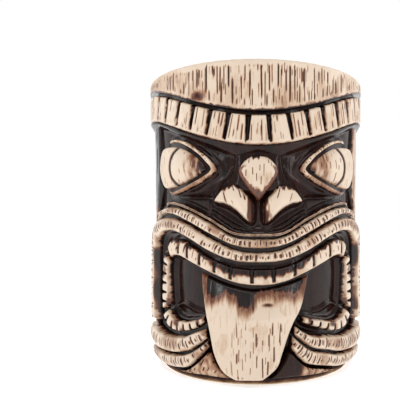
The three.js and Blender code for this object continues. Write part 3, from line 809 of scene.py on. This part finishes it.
def headband(finish):
    """The upright boards round the brow. Gaps lie half-way between whole multiples of a board's width, lean
    outward towards their feet, and stop short of the lower edge."""
    pitch = FULL_ROUND / PLANKS
    m = np.linspace(-HALF_ROUND, HALF_ROUND, PLANKS * 22 + 1)[:-1]
    m, v = np.meshgrid(m, spaced(34, 0.5), indexing="ij")
    s = m + PLANK_LEAN * np.clip(5 * np.sin(m / SHEET_RADIUS), -1, 1) * (1 - v)
    foot, head = band_foot(s), crown_line(s) - CROWN_GROOVE / 2
    z = mix(foot, head, v)
    above, below = z - foot, head - z
    board, gap_number = np.floor(m / pitch + 0.5), np.round(m / pitch)
    aside = 0.5 * pitch - np.abs(m - board * pitch)  # from the nearest gap's middle
    half_gap = mix(0.26, 0.86, v) * chosen(0.85, 1.2, gap_number, 5.0)
    stop = ease((above - chosen(0.5, 1.4, gap_number, 9.0)) / 1.1)
    notch = stop * (1 - shoulder(np.maximum(aside - half_gap, 0), 0.9))
    bold, fine = scratches(m, z, 71.0, 1.6, 15.0, 0.8, 0.26), scratches(m, z, 77.0, 1.0, 8.0, 0.6, 0.15)
    cut = np.maximum(bold, 0.65 * fine) * ease(above / 1.5 - 0.6) * ease(below - 0.4)
    cut *= ease((aside - half_gap - 0.3) / 0.5)
    bow = 0.3 * (aside / (0.5 * pitch)) ** 2
    tilt = 0.35 * (hashed(board, 3.0) - 0.5) * (m - board * pitch) / pitch
    reach = out_to("headband")
    top = np.minimum(reach - 0.32 + bow + tilt - 2.3 * notch - 0.22 * cut, reach)
    outer, inner = skins(s, z, np.minimum(above, below), top, 1.3, 46.6 + 0 * z, 1)
    fray = 0.25 * (noise(s * 1.8, z * 0.8, 6.0) - 0.5)
    gap = stop * (1 - ease((aside - half_gap - 0.05 + fray) / 0.5))
    warm = 0.3 * noise(s / 2.2, z / 6, 15.0) * hashed(board, 8.0)
    stain = deepest(gap, edge_stain(below, s, z, 0.7), edge_stain(above, s, z, 0.55), 0.8 * cut, warm)
    return two_skins("headband_boards", "headband", finish, outer, inner, stain, False, round_u=True)


def back_panel(finish):
    """The bark of the back: long upright cuts over a gently rippled skin, from one temple to the other."""
    edge = [(70, 3), (70, 30), (70, 60), (67.5, 66.5), (61, 71.5), (56.5, 80), (56, 95), (57, 109.5)]
    temple = curve(edge, np.linspace(0, 1, 300))

    def sheet(u, v):
        z = mix(edge[0][1], edge[-1][1], v)
        near = np.interp(z, temple[:, 1], temple[:, 0])
        s = mix(near, FULL_ROUND - near, u)
        top = band_foot(np.minimum(s, FULL_ROUND - s)) - SEAM
        return np.stack([s, mix(z, top, np.clip((v - 0.75) / 0.25, 0, 1))], axis=-1)

    def carve(s, z, u, v, depth, **_):
        lane = (FULL_ROUND - 140) * u  # the cuts follow the panel's own columns
        bold = scratches(lane, z, 81.0, 4.4, 26.0, 0.8, 0.5)
        fine = scratches(lane + 2.0, z, 87.0, 2.4, 15.0, 0.6, 0.3)
        cut = np.maximum(bold, 0.8 * fine) * ease((depth - 1.0) / 1.5)
        ripple = noise(s / 3.2, z / 40, 91.0)
        swell = 0.5 + 0.5 * np.sin(np.pi * v) + 2.0 * ease((9 - z) / 7) ** 2
        on_left = ease((s - (FULL_ROUND - 76)) / 8) * ease((z - 66) / 10)
        smudge = 0.5 * noise(s / 7, z / 22, 95.0) ** 1.5
        stain = deepest(0.95 * cut, edge_stain(depth, s, z, 1.4), smudge, 0.9 * on_left)
        return swell + 0.5 * (1 - ripple) + 0.4 * cut, stain

    return raised_slab("back_bark", "back_panel", finish, sheet, (324, 152), carve, edge=1.6)


# -------- eyes and nose

IRIS_MIDDLE, IRIS_RADIUS = (31.0, 89.2), 10.6


def eyelid(finish, node, side):
    """The rim over and under the eye, joined at its inner corner, nicked along its outer edge."""
    def carve(s, z, u, v, along, depth, **_):
        nick = ticks(along, 0.5 * v + 0.12, 101.0 + side, 1.3, 0.6, 0.26) * ease((0.75 - v) / 0.3)
        lower = (0.36 * noise(s / 4, z / 3, 107.0) + 0.16) * ease((88 - z) / 3)
        stain = deepest(0.85 * nick, edge_stain(depth, s, z, 0.4), 0.5 * ease((22 - s) / 5), lower)
        return 2.0 * ease((0.16 - np.minimum(u, 1 - u)) / 0.16) + 0.15 * nick, stain

    sheet = between(LID_OUTER, LID_INNER)
    raised_slab(f"{node}_rim", node, finish, sheet, (420, 16), carve, edge=0.8, side=side)


def eyeball(finish, node, side):
    """The bulging eye, with the curved groove of the iris, faint upright cuts and a dark inner corner."""
    def carve(s, z, share, depth, **_):
        far = np.hypot(s - IRIS_MIDDLE[0], z - IRIS_MIDDLE[1])
        line = np.exp(-((far - IRIS_RADIUS) / 0.78) ** 2) * ease((s - 33) / 1.5)
        cut = scratches(s, z, 111.0 + side, 1.5, 6.5, 0.62, 0.22) * ease((depth - 0.8) / 1.2)
        cut *= np.where(far > IRIS_RADIUS, 0.4, 0.75)
        streaks = noise(s * 1.3, z * 0.28, 117.0 + side)
        corner = 0.62 * mix(0.35, 1.0, streaks) * ease((36.5 - s) / 8)
        corner += 0.5 * ease((26 - s + 3.5 * streaks) / 6)
        low = 0.5 * ease((83.2 - z + 1.5 * streaks) / 2.6) * ease((44 - s) / 8)
        dome = 2.6 * share ** 2 * mix(1.0, 0.25, ease((s - 38) / 9))
        stain = deepest(1.05 * line, edge_stain(depth, s, z, 0.45), corner, low, cut)
        return dome + 0.5 * line + 0.12 * cut, stain

    raised_pad(f"{node}_ball", node, finish, BALL, BALL_MIDDLE, (300, 80), carve, edge=0.9, side=side)


def nose_root(finish):
    """The dark root of the nose, which slopes off on both sides of the light bridge."""
    def carve(s, share, **_):
        return 1.3 * ease((np.abs(s) - 6.5) / 9) + 0.5 * share ** 2, 0.86 + 0 * s

    raised_pad("nose_root_clay", "nose_root", finish, NOSE_ROOT, (0, 86.5), (200, 40), carve, edge=1.6)


def nose_bridge(finish):
    """The facet of the bridge: light and flat above, folding down to a dark point, with two narrow side
    facets."""
    def carve(s, z, share, depth, **_):
        cut = scratches(s, z, 121.0, 1.4, 6.0, 0.6, 0.2) * ease((depth - 0.7) / 0.8)
        ragged = noise(s * 1.4, z * 0.3, 4.0) - 0.5
        point = ease((79.8 + 0.35 * np.abs(s) - z + 3.0 * ragged) / 3.0)
        brow = ease((z - 90.6 + 2.4 * ragged) / 1.2)
        facet = ease((2.6 - depth + 0.8 * ragged) / 0.7) * ease((89 - z) / 2)
        warm = 0.32 * noise(s / 1.6, z / 5, 123.0) * ease((88 - z) / 6)
        edges = edge_stain(depth, s, z, 0.5)
        fold = 0.12 * np.abs(s) + 0.9 * ease((2.6 - depth) / 2.6)
        stain = deepest(0.75 * cut, edges, 0.66 * point, 0.6 * facet, 0.9 * brow, warm)
        return fold + 0.6 * share ** 2 + 0.12 * cut, stain

    raised_pad("nose_bridge_clay", "nose_bridge", finish, NOSE, NOSE_MIDDLE, (200, 44), carve, edge=1.1)


def nostril(finish, node, side):
    """A nostril wing: light and swelling over its dark foot, stained along its top and darker along its inner
    side.
    """
    def carve(s, z, share, depth, **_):
        cut = scratches(s - 0.3 * (z - 74), z, 131.0 + side, 1.9, 7.0, 0.6, 0.3)
        cut *= ease((depth - 0.6) / 0.8) * ease((z - 71) / 4)
        ragged = noise(s * 1.2, z * 0.35, 135.0 + side) - 0.5
        top = ease((z - 78.6 + 0.12 * np.abs(s - 10) + 2.6 * ragged) / 1.8)
        inner = ease((4.9 - s + 2.2 * ragged) / 1.6)
        stain = deepest(0.85 * cut, edge_stain(depth, s, z, 0.5), 0.86 * top, 0.66 * inner)
        return 1.9 * share ** 2 + 0.5 * ease((5 - s) / 3) + 0.15 * cut, stain

    raised_pad(f"{node}_wing", node, finish, NOSTRIL, NOSTRIL_MIDDLE, (240, 48), carve, edge=1.2, side=side)


def cheek(finish, node, side):
    """The dark wedge between eye, nostril and lip, which falls towards its lower edge."""
    def carve(s, v, **_):
        return 0.7 * (1 - v) ** 2, 0.9 + 0 * s

    sheet = between(CHEEK_LOW, CHEEK_HIGH)
    raised_slab(f"{node}_clay", node, finish, sheet, (70, 26), carve, edge=1.3, side=side)


# -------- lips, teeth, tongue and jaw

def banded(seed, rounding, pitch, keep, width, fade):
    """The carve of a band that is rounded by a square curve, with short cuts square across it."""
    def carve(s, z, v, along, depth, **_):
        bold = ticks(along, v, seed, pitch, keep, width)
        fine = ticks(along + 0.6 * pitch, v, seed + 20.0, 0.62 * pitch, keep, 0.6 * width)
        cut = np.maximum(bold, 0.65 * fine) * ease((depth - 0.3) / 0.5)
        shade = 0.36 * ease((noise(along / 6, v * 1.5, seed + 7.0) - 0.45) / 0.4)
        stain = deepest(0.95 * cut, shade, edge_stain(depth, s, z, fade, seed))
        return rounding * (2 * v - 1) ** 2 + 0.2 * cut, stain
    return carve


def lips(finish):
    """The three bands of the lips: a thin grooved ridge whose ends sink into the cup, the ticked upper lip,
    and the inner lip, whose sides are stained dark next to the mouth."""
    def whole(low, high):
        return between(both_halves(low), both_halves(high))

    def ridge(s, z, v, depth, **_):
        groove = np.exp(-((v - 0.5) / 0.13) ** 2)
        worn = 0.4 * noise(s / 3, z / 3, 143.0)
        fall = 0.3 * (2 * v - 1) ** 2 + 0.3 * groove + 5.2 * ease((np.abs(s) - 41) / 13)
        return fall, deepest(0.85 * groove, edge_stain(depth, s, z, 0.3), worn)

    ticked = banded(151.0, 1.4, 1.9, 0.9, 0.38, 0.45)

    def upper(s, **field):
        fall, stain = ticked(s=s, **field)
        return fall + 2.2 * ease((np.abs(s) - 49) / 7), stain

    plain = banded(161.0, 1.4, 2.2, 0.9, 0.42, 0.5)

    def inner(s, z, **field):
        fall, stain = plain(s=s, z=z, **field)
        streaks = noise(s / 2.5, z / 7, 165.0) - 0.5
        down = ease((60.5 - z + 3 * streaks) / 9) * ease((z - 23) / 4)
        reach = mix(57.5, np.where(s < 0, 61.8, 60.4), down)
        shaded = down * ease((reach - np.abs(s) + 2.4 * streaks) / 3) * ease((np.abs(s) - 48) / 4)
        return fall, np.maximum(stain, mix(0.78, 0.9, streaks + 0.5) * shaded)

    under_ridge, over_groove = lifted(LIP_TOP, -LIP_RIDGE - SEAM), lifted(LIP_LINE, LIP_GROOVE / 2)
    raised_slab("lip_ridge_clay", "lip_ridge", finish, whole(lifted(LIP_TOP, -LIP_RIDGE), LIP_TOP),
                (420, 20), ridge, edge=0.5)
    raised_slab("lip_band", "lip", finish, whole(over_groove, under_ridge), (700, 26), upper, edge=1.0)
    raised_slab("inner_lip_band", "inner_lip", finish, whole(INNER_LIP_INNER, INNER_LIP_OUTER),
                (900, 30), inner)


def parted(places, half_gap, along):
    """How deep in a gap between teeth each place lies, from 0 to 1, and the distance to the nearest gap."""
    aside = np.min(np.abs(along[..., None] - np.asarray(places)), axis=-1)
    return 1 - shoulder(np.maximum(aside - half_gap, 0), 0.9), aside


UPPER_GAPS = [-37.7, -32.2, -25.7, -18.7, -11.7, -2.7, 6.3, 15.3, 24.3, 33.3, 41.3]


def upper_teeth(finish):
    """The upper row: rounded blocks parted by gaps that stop at a rim along their feet, dark at their
    roots."""
    def carve(s, z, v, across, depth, **_):
        notch, aside = parted(UPPER_GAPS, 0.45 + 0.2 * v, s)
        stop = ease((across - 0.8) / 0.8)
        notch = notch * stop
        side_cuts = scratches(s + 0.25 * np.sign(s) * across, across, 171.0, 1.6, 9.0, 0.85, 0.28)
        side_cuts *= ease((v - 0.2) / 0.25) * ease((np.abs(s) - 19) / 5)
        ragged = noise(s * 0.7, z * 0.12, 173.0) - 0.5
        root = ease((v - 0.3 - 0.3 * ragged) / 0.36) * ease((24 - np.abs(s)) / 6)
        root = root * mix(0.8, 1.0, noise(s * 1.6, z * 0.2, 177.0))
        outer_root = 0.8 * ease((v - 0.7 + 0.3 * ragged) / 0.2)
        gap = stop * (1 - ease((aside - 0.45) / 0.45))
        warm = 0.34 * ease((26 - np.abs(s)) / 8) * noise(s * 0.8, z * 0.5, 179.0)
        edges = edge_stain(depth, s, z, 0.45)
        stain = deepest(gap, 0.85 * side_cuts, 0.95 * root, outer_root, warm, edges)
        return 0.5 * (2 * v - 1) ** 2 + 1.5 * notch + 0.25 * side_cuts + 0.7 * root, stain

    sheet = between(both_halves(TEETH_FOOT), both_halves(TEETH_TOP))
    raised_slab("upper_teeth_row", "upper_teeth", finish, sheet, (460, 36), carve, edge=1.0)


def small_teeth(finish, node, sheet, count, size, seed, side, foot):
    """A row of small teeth, parted at even steps. foot is the share of the row where its gaps are deepest."""
    def carve(s, z, v, along, depth, **_):
        pitch = along.max() / count
        aside = np.abs(along / pitch - np.round(along / pitch)) * pitch
        near = 1 - np.abs(v - foot)
        inner = ease((near - 0.14) / 0.3)
        notch = (1 - shoulder(np.maximum(aside - 0.2, 0), 1.2)) * inner
        gap = (1 - ease((aside - 0.1 - 0.4 * near) / 0.45)) * inner
        smudge = 0.7 * ease((noise(along / 3.2, v * 1.4, seed) - 0.5) / 0.4)
        stain = deepest(0.95 * gap, smudge, edge_stain(depth, s, z, 0.5))
        return 0.6 * (2 * v - 1) ** 2 + 1.4 * notch, stain

    raised_slab(f"{node}_row", node, finish, sheet, size, carve, edge=1.0, side=side)


def tongue(finish):
    """The hanging tongue: crowned across, hollowed like a spoon at its root, with upright cuts, a middle
    groove, and a pool of dark stain over a ragged border at its root, which also covers the top edge under
    the teeth as painted shadow."""
    def carve(s, z, u, v, depth, **_):
        across = 2 * u - 1
        root = np.clip((v - 0.6) / 0.4, 0, 1)
        hollow = 1.0 * ease((v - 0.62) / 0.3) * (1 - np.abs(across) ** 3)
        middle = np.exp(-((s + 2.2) / 0.7) ** 2) * ease((z - 28.5) / 4)
        dimple = np.exp(-((s - 3.6) / 2.4) ** 2 - ((z - 33.2) / 0.9) ** 2)
        bold = scratches(s, z, 181.0, 2.3, 11.0, 0.75, 0.34)
        fine = scratches(s + 1.1, z, 187.0, 1.5, 6.5, 0.6, 0.19)
        hair = scratches(s + 0.3, z, 189.0, 0.9, 9.0, 0.5, 0.12)
        busy = mix(0.35, 1.0, ease((29 - z) / 5) * ease((13 - np.abs(s - 1)) / 5))
        cut = deepest(bold, 0.8 * fine, 0.4 * hair) * ease((depth - 1.0) / 1.5) * busy
        streaks = noise(s * 0.9, z * 0.1, 191.0) - 0.5 + 0.6 * (noise(s * 2.6, z * 0.16, 193.0) - 0.5)
        border = 36.2 - 6.4 * np.exp(-((s + 5.6) / 3.4) ** 4) - 2.6 * np.exp(-((s + 19) / 3.0) ** 2)
        # Real stain and painted shadow: the pool is dark stain at the root, and it also covers the top edge
        # under the teeth to stand for their shadow there; only the side rims are kept light.
        stain_pool_and_shadow = ease((z - border + 2.0 * streaks) / 3.4)
        stain_pool_and_shadow *= ease((46 * np.minimum(u, 1 - u) - 2.2 + 1.5 * streaks) / 1.2)
        shade = 0.56 * ease((z - border + 5.0 + 3.0 * streaks) / 6.0)
        blotch = 0.2 * ease((noise(s / 2.4, z / 3, 195.0) * noise(s / 7, z / 9, 197.0) - 0.2) / 0.4)
        edges = edge_stain(depth, s, z, 0.5)
        stain = deepest(0.8 * cut, 0.95 * stain_pool_and_shadow, 0.9 * middle, 0.75 * dimple, shade, blotch, edges)
        fall = 2.0 * across ** 2 + 2.4 * root + 2.0 * (1 - v) ** 4 + hollow
        return fall + 0.2 * cut + 0.6 * middle + 0.35 * dimple, stain

    raised_slab("tongue_clay", "tongue", finish, tongue_sheet, (170, 160), carve, edge=1.6)


def jaw_drop(z):
    """How far the jaw falls back towards the foot, by a square curve."""
    return 3.0 * np.clip(1 - (z - SHEET_FOOT) / 12, 0, 1) ** 2


def jaw(finish, dark, name, side):
    """Two ticked bands on each side, and the fan below them beside the tongue's tip."""
    for index, part in ((0, "upper"), (1, "lower")):
        band = banded(201.0 + 10 * index + side, 1.4, 1.9, 0.9, 0.36, 0.45)

        def carve(z, band=band, **field):
            fall, stain = band(z=z, **field)
            return fall + jaw_drop(z), stain

        raised_slab(f"jaw_{part}_{name}_band", f"jaw_{part}_{name}", finish, jaw_sheet(index, side),
                    (300, 26), carve, edge=1.1, side=side)

    def fan(s, z, depth, **_):
        bare = ease((s - 17) / 4) if side > 0 else mix(0.75, 1.0, ease((s - 14) / 5))
        streaks = noise(s / 1.2, z / 2.5, 221.0)
        tick = scratches(0.8 * s + 0.6 * z, 0.8 * z - 0.6 * s, 227.0, 1.7, 4.0, 0.75, 0.34)
        stain = mix(0.82, np.maximum(0.1 + 0.4 * streaks, 0.85 * tick), bare)
        return 0.04 + jaw_drop(z), np.maximum(stain, edge_stain(depth, s, z, 0.6))

    raised_slab(f"jaw_fan_{name}_clay", f"jaw_fan_{name}", dark, beside(FAN_NEAR[side], FAN_FAR[side]),
                (120, 50), fan, side=side)


# -------- the mug

sand, bark, dark, clay = sand_glaze(), bark_glaze(), dark_glaze(), bare_clay()
cup_dark = dark_glaze("cup_glaze")

cup(cup_dark)
foot_ring(clay)
hair_crown(sand)
headband(sand)
back_panel(bark)
nose_root(dark)
nose_bridge(sand)
lips(sand)
upper_teeth(sand)
tongue(sand)
for name, side in (("left", -1), ("right", 1)):
    eyelid(sand, f"eyelid_{name}", side)
    eyeball(sand, f"eyeball_{name}", side)
    nostril(sand, f"nostril_{name}", side)
    cheek(dark, f"cheek_{name}", side)
    corner, lower = between(SIDE_INNER, SIDE_OUTER), lower_teeth_sheet(side)
    small_teeth(sand, f"side_teeth_{name}", corner, 6, (160, 36), 231.0, side, 1)
    small_teeth(sand, f"lower_teeth_{name}", lower, 7, (180, 36), 241.0, side, 0)
    jaw(sand, dark, name, side)


# -------- floor, light and camera

def studio():
    """A pale floor, a white room that is dimmer in front of the mug, and six soft lights."""
    mesh = bpy.data.meshes.new("floor")
    reach = 6.0
    corners = [(-reach, -reach, 0), (reach, -reach, 0), (reach, reach, 0), (-reach, reach, 0)]
    mesh.from_pydata(corners, [], [(0, 1, 2, 3)])
    pale = Finish("pale_floor", roughness=0.6)
    pale.shader.inputs["Base Color"].default_value = (0.9, 0.9, 0.9, 1)
    pale.shader.inputs["Emission Color"].default_value = (1.0, 1.0, 1.0, 1)
    pale.shader.inputs["Emission Strength"].default_value = 0.56
    mesh.materials.append(pale.material)
    floor = placed("floor", mesh)

    world = bpy.data.worlds.new("white_room")
    world.use_nodes = True
    nodes, links = world.node_tree.nodes, world.node_tree.links
    split = nodes.new("ShaderNodeSeparateXYZ")
    links.new(nodes.new("ShaderNodeTexCoord").outputs["Generated"], split.inputs[0])
    shade = nodes.new("ShaderNodeMapRange")
    shade.interpolation_type = "SMOOTHSTEP"
    for key, value in (("From Min", -0.4), ("From Max", 0.75), ("To Min", 0.56), ("To Max", 1.0)):
        shade.inputs[key].default_value = value
    links.new(split.outputs["Y"], shade.inputs["Value"])
    links.new(shade.outputs["Result"], nodes["Background"].inputs["Strength"])
    nodes["Background"].inputs["Color"].default_value = (1.0, 1.0, 1.0, 1.0)
    bpy.context.scene.world = world

    for name, place, size, power in (
            ("left_box", (-0.70, 0.02, 0.30), (0.3, 0.45), 0.9),
            ("right_box", (0.70, 0.02, 0.30), (0.3, 0.45), 0.9),
            ("left_strip", (-0.46, -0.58, 0.24), (0.03, 0.5), 0.42),
            ("right_strip", (0.46, -0.58, 0.24), (0.03, 0.5), 0.42),
            ("top_box", (0.0, -0.50, 0.72), (0.6, 0.16), 1.1),
            ("back_box", (0.0, 1.0, 1.1), (1.4, 1.4), 8.0)):
        lamp = bpy.data.lights.new(name, "AREA")
        lamp.shape, lamp.energy = "RECTANGLE", power
        lamp.size, lamp.size_y = size
        light = placed(name, lamp)
        light.location = place
        aim = Vector((-place[0], min(-place[1], 0.5), 0.065 - place[2]))
        light.rotation_euler = aim.to_track_quat("-Z", "Y").to_euler()


def camera():
    """Close in front of the face at half the mug's height, turned a little past its middle."""
    distance, height, turn = 0.240, 0.0647, math.radians(1.375)
    lens = bpy.data.cameras.new("camera")
    lens.sensor_width, lens.lens = 36.0, 43.56
    lens.shift_x, lens.shift_y = -0.139, 0.0625
    eye = placed("camera", lens)
    eye.location = (-distance * math.sin(turn), -distance * math.cos(turn), height)
    eye.rotation_euler = (math.pi / 2, 0, -turn)
    bpy.context.scene.camera = eye


studio()
camera()
bpy.context.scene.view_settings.view_transform = "Standard"
